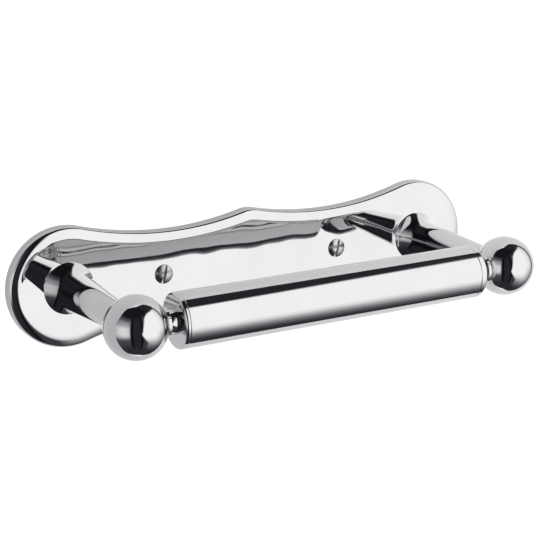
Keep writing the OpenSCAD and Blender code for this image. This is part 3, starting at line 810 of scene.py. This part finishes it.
def stage_grid(name, rows, levels, finish):
    """A sheet of the studio, which only the metal sees."""
    mesh = bpy.data.meshes.new(name)
    faces = grid_faces(len(rows), len(rows[0]))
    mesh.from_pydata([tuple(p) for row in rows for p in row], [], faces)
    store = mesh.attributes.new("level", "FLOAT", "POINT")
    store.data.foreach_set("value", [float(x) for row in levels for x in row])
    mesh.materials.append(finish)
    obj = add_object(name, mesh)
    obj.visible_camera = obj.visible_diffuse = obj.visible_shadow = False
    obj.visible_transmission = obj.visible_volume_scatter = False


def panel(name, az, el, step, radii, level, again=1.0):
    """A panel that wraps part of the space round the roller, from level(az, el)."""
    azs = np.linspace(az[0], az[1], int((az[1] - az[0]) / step) + 1)
    els = np.linspace(el[0], el[1], int((el[1] - el[0]) / step) + 1)
    rows = [[np.array(EYE) + direction(a, e) * radii for a in azs] for e in els]
    stage_grid(name, rows, [[level(a, e) for a in azs] for e in els], glow(name, again))


def table(x, at, levels):
    """The level at x on a line through the listed ones."""
    return float(np.interp(x, at, levels))


def room_level(az, el):
    """Dark room, a little lighter low down and at the left, with two darker upright strips."""
    side = table(el, [-60, -25, 34, 48, 58], [0.05, 0.11, 0.13, 0.1, 0.012])
    front = table(
        az,
        [-48, -45, -37, -33, -12, -8, -3, 2, 86, 90, 96, 100],
        [side, 0.009, 0.009, 0.028, 0.028, 0.009, 0.009, 0.06, 0.06, 0.025, 0.025, 0.06],
    )
    front += (0.012 + 0.014 * ease(az, 20, 60) - front) * ease(el, 44, 60)
    return front + (0.035 - front) * ease(-el, 56, 66)


def key_level(az, el):
    """Large softbox at the right, which fades downwards and towards the wall."""
    left = table(
        el,
        [-40, -35, -30, -25, -20, -15, -10, -5, 0, 10, 20, 30, 40, 45, 50],
        [20, 14, 9, 4.5, 0, -3, -6, -5, -3, -1, 2, 5.5, 10, 15, 24],
    )
    top = table(az, [25, 37, 57, 77, 89], [50, 53, 52, 48, 44])
    down = table(el, [-66, -60, -50, -40, -30, -20], [0.05, 0.09, 0.24, 0.6, 1.1, 1.36])
    high = table(az, [60, 72, 80, 86, 90, 94], [1.0, 0.92, 0.84, 0.6, 0.3, 0.08])
    low = table(az, [45, 60, 75, 88, 95], [1.0, 0.85, 0.5, 0.3, 0.15])
    across = high + (low - high) * ease(-el, -2, 25)
    near = 5 + 12 * ease(-el, 10, 40) + 5 * ease(el, 10, 35)
    inside = ease(az, left - near / 2, left + near / 2) * ease(-el, -top - 3, -top + 3)
    return max(down * across * inside, room_level(az, el))


def fill_level(az, el):
    """Soft window-like patch at the left."""
    tall = table(
        el,
        [-28, -22, -15, -8, 10, 18, 30, 36],
        [0.0, 0.3, 0.78, 1.05, 1.02, 0.6, 0.36, 0.0],
    )
    wide = table(
        az,
        [-100, -96, -90, -75, -60, -51, -47, -44],
        [0.6, 0.66, 0.8, 1.0, 1.0, 0.88, 0.5, 0.0],
    )
    return max(tall * wide, room_level(az, el))


panel("drapes", (-110, 110), (-90, 90), 2, ROOM_R, room_level)
panel("key_panel", (-18, 98), (-66, 56), 1, PANEL_R, key_level, again=1.22)
panel("fill_panel", (-100, -44), (-30, 38), 1, PANEL_R, fill_level)

BOARD_Y = 0.0012  # just behind the plate's back
BOARD_DARK, BOARD_RANGE, BOARD_FADE = 0.66, 0.3, 0.25
SHADE, SHADE_RANGE, SHADE_FROM = 0.7, 0.3, 0.024


def board_level(x, z):
    """The wall board is lighter at the right, and shaded close to the plate."""
    away = math.hypot(max(abs(x) - POST_X * MM, 0.0), z) - SHADE_FROM
    across = BOARD_DARK + BOARD_RANGE * ease(x, -BOARD_FADE, BOARD_FADE)
    return across * (SHADE + SHADE_RANGE * ease(away, -0.002, 0.011))


xs = np.unique(np.concatenate([np.linspace(-0.62, 0.62, 21), np.linspace(-0.16, 0.16, 65)]))
zs = np.unique(np.concatenate([np.linspace(-0.55, 0.5, 15), np.linspace(-0.07, 0.07, 57)]))
board = [[(x, BOARD_Y, z) for x in xs] for z in zs]
stage_grid("wall_board", board, [[board_level(x, z) for x in xs] for z in zs], glow("wall_board"))

FLOOR_Z, FLOOR_HALF, FLOOR_LINES, FLOOR_LIFT = -1.5, 12.0, 9, 0.5


def rays(t):
    """1 for what the camera sees itself, in metal or through glass."""
    path = t.add("ShaderNodeLightPath").outputs
    some = t.calc("MAXIMUM", path["Is Camera Ray"], path["Is Glossy Ray"])
    return t.calc("MAXIMUM", some, path["Is Transmission Ray"])


def make_floor():
    """Pale floor, which keeps the part's shadow and is lifted to white where it is seen."""
    at = [float(x) for x in np.linspace(-FLOOR_HALF, FLOOR_HALF, FLOOR_LINES)]
    mesh = bpy.data.meshes.new("floor")
    verts = [(x, y, FLOOR_Z) for y in at for x in at]
    mesh.from_pydata(verts, [], grid_faces(FLOOR_LINES, FLOOR_LINES))
    mat, t = new_material("floor")
    where = t.add("ShaderNodeTexCoord").outputs["Object"]
    tone = t.mix(t.noise(where, 3.0), grey(0.8), grey(0.83))
    paint = t.add("ShaderNodeBsdfDiffuse", {"Color": tone, "Roughness": 0.0})
    none = t.add("ShaderNodeEmission", {"Color": (0, 0, 0, 1), "Strength": 0.0})
    lift = t.add("ShaderNodeEmission", {"Color": (1, 1, 1, 1), "Strength": FLOOR_LIFT})
    extra = t.mix_shader(rays(t), none.outputs[0], lift.outputs[0])
    both = t.add("ShaderNodeAddShader", {0: paint.outputs[0], 1: extra})
    t.add("ShaderNodeOutputMaterial", {"Surface": both.outputs[0]})
    mesh.materials.append(mat)
    obj = add_object("floor", mesh)


make_floor()

world = bpy.data.worlds.new("studio")
bpy.context.scene.world = world
world.use_nodes = True
t = Nodes(world.node_tree)
soft = t.add("ShaderNodeBackground", {"Color": (0.97, 0.98, 1.0, 1), "Strength": 0.75})
white = t.add("ShaderNodeBackground", {"Color": (1, 1, 1, 1), "Strength": 1.0})
sky = t.mix_shader(rays(t), soft.outputs[0], white.outputs[0])
t.add("ShaderNodeOutputWorld", {"Surface": sky})


def lamp(name, az, el, far, size, power):
    """A soft round lamp for the floor, which the metal doesn't mirror."""
    data = bpy.data.lights.new(name, "AREA")
    data.shape, data.size, data.energy = "DISK", size, power
    obj = add_object(name, data)
    obj.location = EYE + Vector(direction(az, el)) * far
    obj.rotation_mode = "QUATERNION"
    obj.rotation_quaternion = (EYE - obj.location).to_track_quat("-Z", "Y")
    obj.visible_glossy = False


lamp("soft_key", az=45, el=40, far=1.3, size=0.9, power=14.0)
lamp("soft_fill", az=-60, el=25, far=1.3, size=0.8, power=6.0)

# Camera -------------------------------------------------------------------
# Fitted to the outlines in the photo, in degrees, metres and pixels
CAM_AZ, CAM_EL, CAM_ROLL = -28.619, 14.367, -1.176
CAM_FAR, CAM_AIM = 0.620238, Vector((-0.009945, -0.039803, 0.004324))
LENS_PIXELS, LONG_SIDE, SENSOR = 1505.851, 540, 36.0

camera = bpy.data.cameras.new("camera")
camera.sensor_width = SENSOR
camera.lens = LENS_PIXELS * SENSOR / LONG_SIDE
camera.clip_start, camera.clip_end = 0.05, 60.0
cam = add_object("camera", camera)
back = Vector(direction(CAM_AZ, CAM_EL))
right = (-back).cross(Vector((0, 0, 1))).normalized()
up = right.cross(-back)
roll = math.radians(CAM_ROLL)
side_way = math.cos(roll) * right + math.sin(roll) * up
up_way = math.cos(roll) * up - math.sin(roll) * right
place = Matrix((side_way, up_way, back)).transposed().to_4x4()
place.translation = CAM_AIM + back * CAM_FAR
cam.matrix_world = place
bpy.context.scene.camera = cam
bpy.context.scene.view_settings.view_transform = "Standard"
